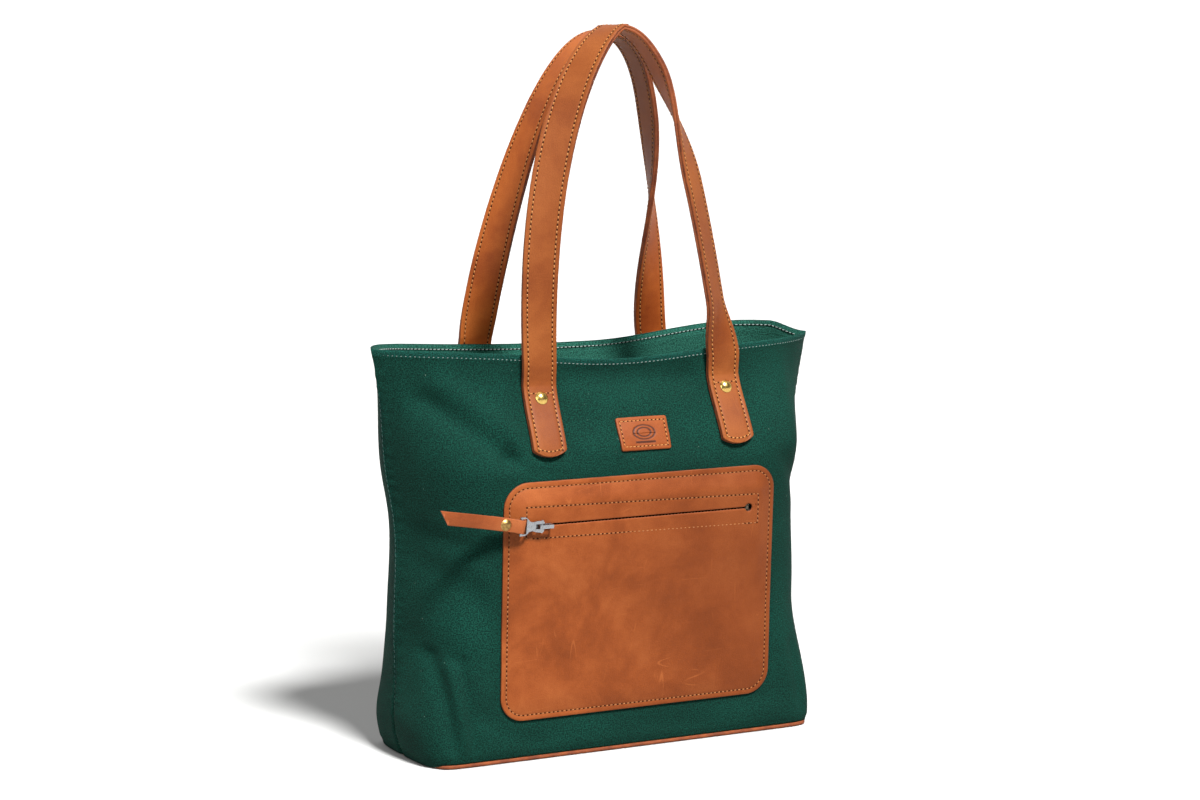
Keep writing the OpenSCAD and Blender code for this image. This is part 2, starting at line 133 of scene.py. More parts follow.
# Creases: from x, z to x, z, how wide, and how far the cloth moves out of the bag
CREASES = {
    FRONT: [
        (-165, 285, -112, 243, 9, -4.5), (-112, 243, -82, 226, 8, -3.9),
        (-82, 226, -30, 224, 7, -2.6), (-150, 296, -92, 248, 10, 3.3),
        (-70, 250, -20, 244, 10, 1.8), (-172, 256, -130, 226, 14, 1.0),
        (-58, 303, 62, 296, 10, -3.1), (-50, 280, 60, 276, 12, 1.6),
        (-172, 182, -130, 168, 10, -2.8), (-170, 160, -134, 132, 14, -3.9),
        (-168, 112, -136, 98, 12, 2.3), (-166, 88, -156, 14, 5, -3.1),
        (-156, 78, -148, 16, 5, 2.1), (-150, 84, -140, 12, 5, -2.1),
        (-134, 40, -90, 14, 9, -1.8), (150, 300, 146, 240, 9, 1.8),
        (150, 70, 160, 12, 6, -2.1), (134, 226, 160, 200, 9, -2.1),
        (40, 24, 130, 16, 9, 1.4),
    ],
    REAR: [
        (-170, 296, -130, 250, 9, -3.5), (-60, 300, 60, 296, 14, -3.1),
        (-150, 200, -40, 150, 22, -3.9), (-120, 120, 60, 90, 26, 3.5),
        (60, 210, 150, 140, 20, -3.9), (-160, 90, -146, 14, 6, -2.8),
        (160, 96, 146, 14, 6, -2.8), (160, 296, 146, 240, 9, -3.5),
        (0, 60, 110, 24, 14, -2.4),
    ],
}
# Long low waves over the cloth: turns per metre across and up, height and phase
WAVE_COUNT = 7
WAVES = {
    side: [(*random.uniform(-9, 9, 2), random.uniform(0.35, 0.8), random.uniform(0, 6.3))
           for _ in range(WAVE_COUNT)]
    for side in (FRONT, REAR)
}
POCKET_X, POCKET_Z, POCKET_W, POCKET_H = 2.5, 128.2, 242, 189.7
POCKET_R = 20  # its corners
HEM = 4.2  # from the rim to its stitches
STRAP_W, LAYER_T, SEWN_END = 28.5, 2.15, 54
LEG_GAP, LEG_MID, LEG_OUT = 165, 5, 3.7
SEAM_FADE = 18  # creases and waves fade to nothing over this distance from a side seam
STRAP_FADE, POCKET_FADE, FOOT_FADE, RIM_FADE = 16, 22, 30, 40  # the same by other things that hold the cloth
CORNER_BULGE = 3.2  # how far the cloth sags out at the foot of the left side
SIDE_BULGE = 4.5  # and higher up on it


def pocket_edge_distance(x, z, corner=POCKET_R):
    """How far inside the pocket's edge a point is; negative outside."""
    qx = np.abs(x - POCKET_X) - POCKET_W / 2 + corner
    qz = np.abs(z - POCKET_Z) - POCKET_H / 2 + corner
    return corner - np.hypot(np.maximum(qx, 0), np.maximum(qz, 0)) - np.minimum(np.maximum(qx, qz), 0)


def strap_distance(x, z):
    """How far a point is from the nearest sewn end of a strap; 0 under it."""
    beside = np.abs(np.abs(x - LEG_MID) - LEG_GAP / 2) - STRAP_W / 2
    return np.hypot(np.maximum(beside, 0), np.maximum(FOLD_Z - SEWN_END - z, 0))


def relief(side, x, z):
    """How far creases, waves and the hem move the cloth out of the bag."""
    height = np.zeros(np.broadcast(x, z).shape)
    for x0, z0, x1, z1, width, amount in CREASES[side]:
        dx, dz = x1 - x0, z1 - z0
        t = np.clip(((x - x0) * dx + (z - z0) * dz) / (dx * dx + dz * dz), 0, 1)
        height += amount * bump(np.hypot(x - x0 - t * dx, z - z0 - t * dz), width)
    for kx, kz, amount, phase in WAVES[side]:
        height += amount * np.sin(2 * math.pi * (kx * x + kz * z) * MM + phase)
    below = rim_z(side, x) - z
    height *= smooth(z / FOOT_FADE) * smooth((half_w(z) - np.abs(x)) / SEAM_FADE)
    height *= smooth((strap_distance(x, z) - 1) / STRAP_FADE) * smooth((below + 10) / RIM_FADE)
    if side == FRONT:
        height *= smooth(-pocket_edge_distance(x, z) / POCKET_FADE)
    # The hem stands out, and is drawn in along its stitches and a little below them
    height += 0.45 * bump(below - HEM / 2, 1.6) - 0.45 * bump(below - HEM, 0.9)
    return height - 0.3 * bump(below - 9, 2)


def surface(side, s, z):
    """Points on the creased cloth, and the directions out of it."""
    s, z = np.broadcast_arrays(np.asarray(s, float), np.asarray(z, float))
    along = wall(side, np.minimum(s + 1e-3, 1), z) - wall(side, np.maximum(s - 1e-3, -1), z)
    up = wall(side, s, z + 0.5) - wall(side, s, z - 0.5)
    out = unit(np.cross(along, up)) * -side
    base = wall(side, s, z)
    moved = base + out * relief(side, base[..., 0], z)[..., None]
    moved[..., 0] -= CORNER_BULGE * smooth((-s - 0.86) / 0.12) * bump(z - 30, 22)
    moved[..., 0] -= SIDE_BULGE * smooth((-s - 0.7) / 0.28) * bump(z - 228, 42)
    return moved, out


def on_cloth(side, x, z, off=0):
    """Points at x, z that stand off the cloth, and the directions out of it."""
    points, out = surface(side, x / half_w(z), z)
    return points + out * np.asarray(off, float)[..., None], out


# ---- Meshes ----


def make_object(name, vertices, faces, materials, face_material=None, uv=None):
    mesh = bpy.data.meshes.new(name)
    mesh.from_pydata((np.asarray(vertices) * MM).tolist(), [], [list(map(int, f)) for f in faces])
    for material in materials:
        mesh.materials.append(material)
    if face_material is not None:
        mesh.polygons.foreach_set("material_index", np.asarray(face_material, np.int32))
    mesh.polygons.foreach_set("use_smooth", np.ones(len(mesh.polygons), bool))
    if uv is not None:
        corners = np.zeros(len(mesh.loops), np.int32)
        mesh.loops.foreach_get("vertex_index", corners)
        layer = mesh.uv_layers.new(name="UVMap")
        layer.data.foreach_set("uv", np.asarray(uv, np.float32)[corners].ravel())
    shape = bmesh.new()
    shape.from_mesh(mesh)
    bmesh.ops.recalc_face_normals(shape, faces=shape.faces)
    shape.to_mesh(mesh)
    shape.free()
    piece = bpy.data.objects.new(name, mesh)
    bpy.context.scene.collection.objects.link(piece)
    return piece


def loft(name, points, materials, row_material, uv, ring=False):
    """A closed skin through points[row, column]. Rows go round the section, and the last joins the first.
    With ring the last column joins the first; otherwise each end is closed across the section."""
    rows, cols = points.shape[:2]
    ids = np.arange(rows * cols).reshape(rows, cols)
    below = np.roll(ids, -1, axis=0)
    if ring:
        quads = np.stack([ids, np.roll(ids, -1, 1), np.roll(below, -1, 1), below], -1)
    else:
        quads = np.stack([ids[:, :-1], ids[:, 1:], below[:, 1:], below[:, :-1]], -1)
    face_material = list(np.repeat(row_material, quads.shape[1]))
    faces = quads.reshape(-1, 4).tolist()
    if not ring:
        edge = max(row_material)
        for c in (0, cols - 1):
            for r in range(rows // 2 - 1):
                faces.append([ids[r, c], ids[r + 1, c], ids[rows - 2 - r, c], ids[rows - 1 - r, c]])
                face_material.append(edge)
    return make_object(name, points.reshape(-1, 3), faces, materials, face_material, uv.reshape(-1, 2))


def path_length(points):
    return np.concatenate([[0], np.cumsum(np.linalg.norm(np.diff(points, axis=0), axis=1))])


def resample(points, where):
    """Rows at lengths along the path of the first three columns. Further columns come along."""
    length = path_length(points[:, :3])
    return np.stack([np.interp(where, length, points[:, k]) for k in range(points.shape[1])], -1)


# A stitch: rings along it as (place, thickness, height), all in shares of its length or radius
STITCH_RINGS = [(-0.5, 0.3, -0.7), (-0.38, 0.85, 0.05), (0, 1, 0.45), (0.38, 0.85, 0.05), (0.5, 0.3, -0.7)]
STITCH_SIDES = 6
STITCH_FLAT = 0.75  # how thick a stitch is for its width
HOLE_L, HOLE_W, HOLE_LIFT = 0.95, 0.72, 0.06  # a hole's half length, half width and height off the surface


def sew(name, runs, thread, hole=None, pitch=3.8, length=2.4, radius=0.44, slant=0.1):
    """Stitches along each run of (points, directions out), with a flat disk of painted shade for each hole.
    """
    vertices, faces, face_material = [], [], []
    circle = [(math.cos(a), math.sin(a)) for a in np.arange(STITCH_SIDES) * 2 * math.pi / STITCH_SIDES]
    stitch_shape = np.array([
        [place * length, thick * radius * cos, (lift + STITCH_FLAT * thick * sin) * radius]
        for place, thick, lift in STITCH_RINGS for cos, sin in circle])
    hole_shape = np.array([[HOLE_L * cos, HOLE_W * sin, HOLE_LIFT] for cos, sin in circle])

    def add(shape, centre, along, out, turn, material):
        """One stitch, or one hole if the shape has a single ring."""
        start = len(vertices)
        side = np.cross(out, along)
        t = along * math.cos(turn) + side * math.sin(turn)
        w = np.cross(out, t)
        vertices.extend(centre + shape[:, :1] * t + shape[:, 1:2] * w + shape[:, 2:] * out)
        rings = np.arange(start, len(vertices)).reshape(-1, STITCH_SIDES)
        if len(rings) == 1:
            made = [rings[0]]
        else:
            made = [(a[k], a[k - STITCH_SIDES + 1], b[k - STITCH_SIDES + 1], b[k])
                    for a, b in zip(rings, rings[1:]) for k in range(STITCH_SIDES)]
        faces.extend(made)
        face_material.extend([material] * len(made))

    for points, outs in runs:
        total = path_length(points)[-1]
        count = max(1, round(total / pitch))
        step = total / count
        both = np.concatenate([points, outs], axis=1)
        middle = resample(both, (np.arange(count) + 0.5) * step)
        ahead = resample(both, (np.arange(count) + 0.6) * step)
        for m, a in zip(middle, ahead):
            out = m[3:] / np.linalg.norm(m[3:])
            along = a[:3] - m[:3]
            along = along - out * along.dot(out)
            along /= np.linalg.norm(along)
            add(stitch_shape, m[:3], along, out, slant + random.normal(0, 0.03), 0)
            if hole is not None:
                add(hole_shape, m[:3] - along * step / 2, along, out, 0, 1)
    return make_object(name, vertices, faces, [thread] + ([hole] if hole else []), face_material)


def place(piece, body, slot, *replaced):
    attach(piece, body)
    if replaced:
        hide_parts(*replaced)
    return piece


# ---- Materials ----


class Net:
    """A material's node tree, with short ways to add to it. Most methods return an output socket."""

    def __init__(self, name, roughness=0.5, **fixed):
        self.material = bpy.data.materials.new(name)
        self.material.use_nodes = True
        self.tree = self.material.node_tree
        self.tree.nodes.clear()
        self.shader = self.tree.nodes.new("ShaderNodeBsdfPrincipled")
        self.shader.inputs["Roughness"].default_value = roughness
        for key, value in fixed.items():
            self.shader.inputs[key.replace("_", " ")].default_value = value
        output = self.tree.nodes.new("ShaderNodeOutputMaterial")
        self.tree.links.new(self.shader.outputs[0], output.inputs[0])

    def node(self, kind, inputs=(), output=0, **settings):
        made = self.tree.nodes.new("ShaderNode" + kind)
        for key, value in settings.items():
            setattr(made, key, value)
        for key, value in dict(inputs).items():
            self.set(made.inputs[key], value)
        return made.outputs[output]

    def set(self, socket, value):
        if isinstance(value, bpy.types.NodeSocket):
            self.tree.links.new(value, socket)
        else:
            socket.default_value = value

    def finish(self, colour, roughness=None, height=None, strength=0.5, distance=0.0005):
        """Joins up the shader, with height as a bump distance metres deep. Returns the material."""
        self.set(self.shader.inputs["Base Color"], colour)
        if roughness is not None:
            self.set(self.shader.inputs["Roughness"], roughness)
        if height is not None:
            normal = self.node("Bump", {"Height": height, "Strength": strength, "Distance": distance})
            self.set(self.shader.inputs["Normal"], normal)
        return self.material

    def math(self, operation, a, b=0.0, clamp=False):
        return self.node("Math", {0: a, 1: b}, operation=operation, use_clamp=clamp)

    def plus(self, a, b, clamp=False):
        return self.math("ADD", a, b, clamp)

    def minus(self, a, b):
        return self.math("SUBTRACT", a, b)

    def times(self, a, b, clamp=False):
        return self.math("MULTIPLY", a, b, clamp)

    def size_of(self, a):
        return self.math("ABSOLUTE", a)

    def place(self, scale=(1, 1, 1), turn=0.0, uv=True):
        """Surface coordinates in millimetres, stretched by scale."""
        source = self.node("TexCoord", output=2 if uv else 3)
        unit_scale = 1 if uv else 1000
        return self.node("Mapping", {"Vector": source, "Scale": [k * unit_scale for k in scale],
                                     "Rotation": (0, 0, turn)})

    def noise(self, where, size, detail=3.0, rough=0.55, warp=0.0):
        """Cloudy noise from 0 to 1 whose blobs are about size millimetres across."""
        return self.node("TexNoise", {"Vector": where, "Scale": 1 / size, "Detail": detail,
                                      "Roughness": rough, "Distortion": warp})

    def remap(self, value, low, high, to_low=0.0, to_high=1.0):
        return self.node("MapRange", {"Value": value, "From Min": low, "From Max": high, "To Min": to_low,
                                      "To Max": to_high}, interpolation_type="SMOOTHSTEP")

    def blend(self, share, a, b, mode="MIX"):
        """Share 0 gives a and 1 gives b. A tuple is a colour's parts from 0 to 255."""
        made = self.tree.nodes.new("ShaderNodeMix")
        made.data_type = "RGBA"
        made.blend_type = mode
        self.set(made.inputs["Factor"], share)
        for key, value in (("A", a), ("B", b)):
            self.set(made.inputs[key], colour(value) if isinstance(value, tuple) else value)
        return made.outputs["Result"]

    def shade(self, tint, value):
        """The tint times a grey value."""
        return self.blend(1.0, tint, self.node("CombineXYZ", {0: value, 1: value, 2: value}), "MULTIPLY")


def colour(parts):
    """Red, green and blue from 0 to 255 as the shader's linear colour."""
    parts = [k / 255 for k in parts]
    return [k / 12.92 if k < 0.04045 else ((k + 0.055) / 1.055) ** 2.4 for k in parts] + [1]


THREAD_W = 0.62  # the canvas threads
SLUB = 0.14  # one over how far thick places are drawn out along a thread


def canvas_material(name, base, light):
    """Plain-woven cotton. UVs are millimetres along the cloth."""
    net = Net(name, roughness=0.92, Specular_IOR_Level=0.07, Sheen_Weight=0.0, Sheen_Roughness=0.5)
    uv = net.place()
    parts = net.node("SeparateXYZ", {0: uv})
    wave_u, wave_v = [net.math("SINE", net.times(part, math.pi / THREAD_W))
                      for part in parts.node.outputs[:2]]
    over = net.plus(net.times(net.times(wave_u, wave_v), 2.0), 0.5, clamp=True)
    weave = net.plus(net.times(net.size_of(wave_u), over),
                     net.times(net.size_of(wave_v), net.minus(1.0, over)))
    slub_u = net.noise(net.place((1.0, SLUB, 1)), 0.6, 2)
    slub_v = net.noise(net.place((SLUB, 1.0, 1)), 0.6, 2)
    speckle = net.noise(uv, 1.0, 2, 0.6)
    tone = net.plus(net.times(net.blend(over, slub_v, slub_u), 0.5), net.times(speckle, 0.5))
    tint = net.blend(net.remap(tone, 0.38, 0.62), base, light)
    tint = net.shade(tint, net.remap(speckle, 0.34, 0.66, 0.52, 1.48))
    # Painted shade: darker where the threads dip at their edges in the weave.
    tint = net.shade(tint, net.remap(weave, 0.1, 0.75, 0.62, 1.06))
    tint = net.shade(tint, net.remap(net.noise(uv, 60, 2), 0.3, 0.7, 0.88, 1.12))
    lint = net.remap(net.noise(net.place((1, 0.5, 1), 0.6), 1.6, 1), 0.79, 0.83)
    tint = net.blend(net.times(lint, 0.5), tint, (120, 140, 125))
    rough = net.remap(speckle, 0.3, 0.7, 0.82, 0.97)
    return net.finish(tint, rough, net.plus(weave, net.times(net.noise(uv, 2.0, 3), 0.5)), 0.55, 0.00022)


# Fine scratches in leather lie where a stretched noise is half way: its stretch, turn and size
SCRATCHES = (((1, 0.1, 1), 0.9, 30), ((1, 0.12, 1), -0.5, 20), ((0.1, 1, 1), 0.25, 36))
SCRATCH_W = 0.0035  # half a scratch's width, as a step of the noise


def scratch_marks(net):
    """1 on the scratches, which come in patches, and 0 off them."""
    marks = 0.0
    for stretch, turn, size in SCRATCHES:
        off_line = net.size_of(net.minus(net.noise(net.place(stretch, turn), size, 1, 0.4, 0.1), 0.5))
        patch = net.remap(net.noise(net.place((1, 1, 1), turn + 1), 26, 2), 0.53, 0.66)
        marks = net.plus(marks, net.times(net.remap(off_line, 0.0, SCRATCH_W, 1.0, 0.0), patch))
    return marks


def leather_material(name, dark, middle, light, scratches=1.0, grain=1.0, shade=None, mark=None):
    """Waxed leather: cloudy tone, pale scratches, dark spots and fine pores. UVs are millimetres.
    With shade=(from, to) the colour grows darker between those places across, painted shade that stands in
    for light falling from the left. With mark=(across, up) the label's generic mark is printed there."""
    net = Net(name, roughness=0.55, Specular_IOR_Level=0.12)
    uv = net.place()
    big = net.noise(uv, 60, 4, 0.6, 0.35)
    small = net.noise(uv, 9, 5, 0.65, 0.3)
    tone = net.plus(net.times(big, 0.84), net.times(small, 0.16))
    tint = net.blend(net.remap(tone, 0.24, 0.56), dark, middle)
    tint = net.blend(net.times(net.remap(tone, 0.44, 0.74), 0.6), tint, light)
    # Painted shade: the colour darkens across towards the right, as if lit from the left.
    if shade:
        across = net.remap(net.node("SeparateXYZ", {0: uv}), *shade)
        tint = net.blend(net.times(across, 0.55), tint, dark)
    fine = net.noise(uv, 0.8, 4, 0.7)
    tint = net.shade(tint, net.remap(fine, 0.3, 0.7, 0.88, 1.12))
    marks = net.times(scratch_marks(net), 0.3 * scratches, clamp=True)
    tint = net.blend(marks, tint, light)
    if mark:
        tint = net.blend(net.times(ring_mark(net, uv, mark), 0.85), tint, (44, 24, 20))
    spots = net.remap(net.noise(net.place((1, 1, 1), 2.0), 5, 2), 0.74, 0.8)
    tint = net.blend(net.times(spots, 0.25), tint, dark)
    rough = net.remap(net.plus(big, marks), 0.3, 1.0, 0.5, 0.7)
    pores = net.node("TexVoronoi", {"Vector": uv, "Scale": 0.85, "Randomness": 1.0}, feature="SMOOTH_F1")
    height = net.plus(net.times(pores, 0.5 * grain), net.times(fine, 0.7 * grain))
    height = net.plus(net.minus(height, net.times(marks, 0.4)), net.times(small, 0.9))
    return net.finish(tint, rough, height, 0.5, 0.00025)


# The label and its mark: two oval rings, as shares of the mark's half width and height, over a bar
LABEL_X, LABEL_Z = 6, 253.5
LABEL_HALF = np.array([22.8, 12.3])
LABEL_R = 1.6
LABEL_UV_X = 400  # where the label lies across its hide
MARK_SIZE = (9.5, 5.2)
MARK_UP = 0.8
MARK_RINGS = (1.0, 0.62)
MARK_BAR = (-7.2, 9.0, 0.5)  # height, half length and half thickness


def ring_mark(net, uv, centre):
    """1 on the lines of the label's mark, fading to 0 beside them."""
    offset = net.node("VectorMath", {0: uv, 1: (*centre, 0)}, operation="SUBTRACT")
    shrink = (1 / MARK_SIZE[0], 1 / MARK_SIZE[1], 0)
    flat = net.node("VectorMath", {0: offset, 1: shrink}, operation="MULTIPLY")
    radius = net.node("VectorMath", {0: flat}, output=1, operation="LENGTH")
    total = 0.0
    for ring in MARK_RINGS:
        off_line = net.size_of(net.minus(radius, ring))
        total = net.math("MAXIMUM", total, net.remap(off_line, 0.05, 0.13, 1.0, 0.0))
    height, half, thick = MARK_BAR
    across, up = net.node("SeparateXYZ", {0: offset}).node.outputs[:2]
    off_bar = net.size_of(net.minus(up, height))
    in_bar = net.math("LESS_THAN", net.size_of(across), half)
    return net.math("MAXIMUM", total, net.times(in_bar, net.remap(off_bar, thick, 2 * thick, 1.0, 0.0)))


def raw_edge_material(name, base, light):
    """The cut edge of leather: fibrous, with streaks along it."""
    net = Net(name, roughness=0.78, Specular_IOR_Level=0.25)
    where = net.place((0.25, 0.25, 1.4), uv=False)
    fibre = net.noise(where, 0.9, 4, 0.7)
    patch = net.noise(net.place(uv=False), 12, 3)
    tint = net.blend(net.remap(net.plus(fibre, patch), 0.75, 1.25), base, light)
    return net.finish(tint, net.remap(fibre, 0.3, 0.7, 0.68, 0.88), fibre, 0.6, 0.0002)


def thread_material(name, base, light):
    """Twisted thread: pale and dark strands that wind round it."""
    net = Net(name, roughness=0.6, Specular_IOR_Level=0.35, Sheen_Weight=0.1)
    turned = net.place((1, 1, 1), 0.7, uv=False)
    strands = net.node("TexWave", {"Vector": turned, "Scale": 0.9, "Distortion": 0.6}, output=1)
    fuzz = net.noise(net.place(uv=False), 0.6, 2)
    tint = net.blend(net.times(net.plus(strands, fuzz), 0.55, clamp=True), base, light)
    return net.finish(tint, net.remap(fuzz, 0.3, 0.7, 0.5, 0.72), strands, 0.4, 0.0001)


# Stitch holes are flat disks on the surface; their dark colour is painted shade for the hole's depth.
def hole_material(name, dark, light):
    net = Net(name, roughness=0.95, Specular_IOR_Level=0.1)
    shade = net.noise(net.place(uv=False), 0.7, 2)
    return net.finish(net.blend(shade, dark, light), net.remap(shade, 0, 1, 0.9, 1.0))


def metal_material(name, base, tarnish, roughness, dirt=0.3):
    """Plated metal with fine scratches and a little tarnish."""
    net = Net(name, roughness=roughness, Metallic=1.0)
    where = net.place(uv=False)
    cloud = net.noise(where, 3, 4, 0.6)
    scratch = net.noise(net.place((1, 0.08, 1), 0.6, uv=False), 0.5, 3, 0.7)
    tint = net.blend(net.times(net.remap(cloud, 0.42, 0.75), dirt), base, tarnish)
    rough = net.plus(net.remap(cloud, 0.3, 0.75, roughness * 0.8, roughness * 1.5), net.times(scratch, 0.08))
    return net.finish(tint, rough, scratch, 0.25, 0.00006)


def tape_material():
    """Woven tape: dark brown, with ribs across it."""
    net = Net("zip_tape", roughness=0.9, Specular_IOR_Level=0.2, Sheen_Weight=0.15)
    where = net.place(uv=False)
    ribs = net.node("TexWave", {"Vector": where, "Scale": 0.5, "Distortion": 0.3}, output=1)
    fuzz = net.noise(where, 0.8, 3)
    tint = net.blend(fuzz, (34, 24, 18), (66, 48, 36))
    return net.finish(tint, net.remap(fuzz, 0.2, 0.8, 0.85, 0.98), net.plus(ribs, fuzz), 0.5, 0.0002)


def board_material():
    """The stiffening board's cover: dark woven lining cloth."""
    net = Net("board_cover", roughness=0.85, Specular_IOR_Level=0.25)
    where = net.place(uv=False)
    weave = net.node("TexBrick", {"Vector": where, "Scale": 0.9, "Mortar Size": 0.08}, output=1)
    grain = net.noise(where, 2.2, 4, 0.7)
    tint = net.blend(grain, (38, 46, 42), (66, 76, 70))
    return net.finish(tint, net.remap(grain, 0.2, 0.8, 0.78, 0.94), net.plus(weave, grain), 0.4, 0.0003)


CANVAS = canvas_material("green_canvas", (2, 26, 20), (8, 47, 38))
LINING = canvas_material("green_canvas_inside", (14, 52, 43), (32, 78, 66))
FOLD = canvas_material("green_canvas_fold", (4, 38, 31), (16, 58, 50))
STRAP = leather_material("strap_leather", (86, 38, 12), (102, 51, 18), (122, 68, 29))
STRAP_BACK = leather_material("strap_back_leather", (98, 41, 12), (124, 60, 20),
                              (148, 82, 33), 0.5)
# The pocket's colour darkens towards its right: painted shade, as if lit from the left.
POCKET = leather_material("pocket_leather", (83, 37, 11), (109, 52, 19), (136, 75, 36), 1.5,
                          shade=(-95, 110))
LABEL = leather_material("label_leather", (90, 40, 12), (105, 50, 18), (122, 64, 27), 0.5,
                         mark=(LABEL_X + LABEL_UV_X, LABEL_Z + MARK_UP))
TAB = leather_material("tab_leather", (98, 46, 20), (118, 60, 29), (136, 80, 44), 0.5, 1.6)
RAW_EDGE = raw_edge_material("leather_edge", (78, 32, 11), (110, 54, 22))
LEATHER_THREAD = thread_material("ochre_thread", (116, 64, 18), (166, 112, 46))
POCKET_THREAD = thread_material("dark_ochre_thread", (100, 54, 16), (144, 90, 33))
CANVAS_THREAD = thread_material("canvas_thread", (66, 85, 81), (142, 152, 147))
SEAM_THREAD = thread_material("seam_thread", (8, 30, 30), (30, 62, 62))
# The dark stitch holes: painted shade.
HOLE = hole_material("stitch_hole", (30, 12, 5), (52, 23, 9))
CANVAS_HOLE = hole_material("canvas_stitch_hole", (2, 10, 8), (6, 20, 17))
NICKEL = metal_material("polished_nickel", (164, 166, 170), (84, 84, 86), 0.24)
TEETH = metal_material("zip_teeth_metal", (120, 108, 92), (60, 52, 44), 0.42, 0.6)
BRASS = metal_material("polished_brass", (226, 190, 108), (170, 128, 60), 0.16)
OLD_BRASS = metal_material("antique_brass", (168, 134, 80), (92, 68, 38), 0.3, 0.7)


# ---- Canvas pieces ----

PANEL_GRID, FACING_GRID = (341, 151), (201, 31)  # columns and rows
# The rim's turned edge: inwards, upwards, and how far the cloth has run since the outside's top row
CLOTH_ROLL = [(0.1, 0.45, 0.4), (0.55, 0.8, 0.9), (1.05, 0.8, 1.4), (1.5, 0.45, 1.9)]
ROLL_LENGTH = 2.3
FACING_H, FACING_T, FACING_INSET = 45, 1.0, 2.0


def seam_steps(count):
    """Places across the wall from seam to seam, closer together towards the seams."""
    u = np.linspace(-1, 1, count)
    return np.sign(u) * (1 - (1 - np.abs(u)) ** 2.2)


def cloth_sheet(name, side, low, drop, inset, thick, grid, material, seam=True):
    """A sheet of the wall from low up to drop below the rim, inset from the outside and thick.
    With seam it is drawn in along the side seams and round the base."""
    columns, rows = grid
    s, v = np.meshgrid(seam_steps(columns), np.linspace(0, 1, rows))
    tucked = smooth((np.abs(s) - 0.93) / 0.05) if seam else 0
    z = mix(mix(low, 0.7, tucked), rim_z(side, s * RIM_W / 2) - drop - 0.8, v)
    skin, out = surface(side, s, z)
    up = np.array([0, 0, 1.0])
    steps = np.linalg.norm(np.diff(skin, axis=1), axis=-1)
    from_left = np.concatenate([np.zeros((rows, 1)), np.cumsum(steps, 1)], 1)
    if seam:
        from_seam = np.minimum(from_left, from_left[:, -1:] - from_left)
        pucker = 0.35 * np.sin(z * 0.62 + 2 * np.sin(z * 0.11)) * bump(from_seam - 5, 5) * smooth(z / 20)
        groove = -1.3 * bump(from_seam, 1.5) * smooth((BODY_H - z) / 60)
        foot = 1 - smooth((z - BASE_T) / 7)
        tuck = mix(1.4, 1.1 * foot, tucked) * foot
        skin = skin + out * (pucker + groove - tuck)[..., None]
    skin = skin - out * inset
    rolls = [skin[-1] - out[-1] * inwards * thick / CANVAS_T + up * upwards
             for inwards, upwards, _ in CLOTH_ROLL]
    points = np.concatenate([skin, np.stack(rolls), (skin - out * thick)[::-1]])
    across = from_left - from_left[:, columns // 2, None]
    u_mm = np.concatenate([across, across[-1:].repeat(len(rolls), 0), across[::-1]])
    v_mm = np.concatenate([z] + [z[-1:] + run for _, _, run in CLOTH_ROLL] + [z[::-1] + ROLL_LENGTH])
    row_material = np.zeros(len(points), int)
    row_material[rows + 2:] = 1
    row_material[rows - 3:rows + 4] = len(material) - 1
    return loft(name, points, material, row_material, np.stack([u_mm, v_mm], -1))


def build_canvas():
    for side, side_name in SIDE_NAMES.items():
        panel = cloth_sheet(side_name + "_canvas", side, BASE_T - 0.4, 0, 0, CANVAS_T, PANEL_GRID,
                            [CANVAS, LINING, FOLD])
        place(panel, BAG, "canvas", side_name + "_panel")
        facing = cloth_sheet(side_name + "_facing_cloth", side, BODY_H - FACING_H, 1.0, FACING_INSET,
                             FACING_T, FACING_GRID, [LINING, LINING], seam=False)
        place(facing, BAG, "facing_canvas", side_name + "_facing")
        # The hem's stitches outside and inside, and those along the facing's lower edge
        s = np.linspace(-0.985, 0.985, 400)
        hem_z = rim_z(side, s * RIM_W / 2) - HEM
        runs = []
        for share, z, inside in ((1, hem_z, False), (1, hem_z, True), (0.97, BODY_H - FACING_H + 3, True)):
            skin, out = surface(side, s * share, z)
            runs.append((skin - out * (FACING_INSET + FACING_T + 0.05), -out) if inside
                        else (skin + out * 0.05, out))
        sewing = sew(side_name + "_rim_stitches", runs, CANVAS_THREAD, CANVAS_HOLE, pitch=3.6, length=2.5,
                     radius=0.4)
        place(sewing, BAG, "canvas")


# A bound seam allowance's section: inwards from the seam, and towards the rear
BINDING = [(6.5, 0.9), (14.3, 1.0), (15.0, 0.5), (15.0, -0.5), (14.3, -1.0), (6.5, -0.9)]


def build_side_seams():
    """Stitches that show in the side seams, and the bound seam allowances inside the bag."""
    for end, end_name in ((-1, "left"), (1, "right")):
        z = np.linspace(16, 314, 200)
        skin, out = surface(FRONT, np.full_like(z, end * 0.9997), z)
        run = (skin - out * 0.75, out)
        seam = sew(end_name + "_seam_stitches", [run], SEAM_THREAD, pitch=4.0, radius=0.2)
        place(seam, BAG, "canvas")
        z = np.linspace(BASE_T + 7, BODY_H - 3, 90)
        sway = 0.7 * np.sin(z * 0.09) + 0.4 * np.sin(z * 0.31 + 1)
        points = np.stack([np.stack([end * (half_w(z) - inwards), sway * (inwards - 6) / 9 + back, z], -1)
                           for inwards, back in BINDING])
        uv = np.stack([np.stack([np.full_like(z, -inwards), z], -1) for inwards, _ in BINDING])
        binding = loft(end_name + "_seam_allowance", points, [LINING], [0] * len(BINDING), uv)
        place(binding, BAG, "facing_canvas", end_name + "_seam_binding")


# ---- Leather base ----


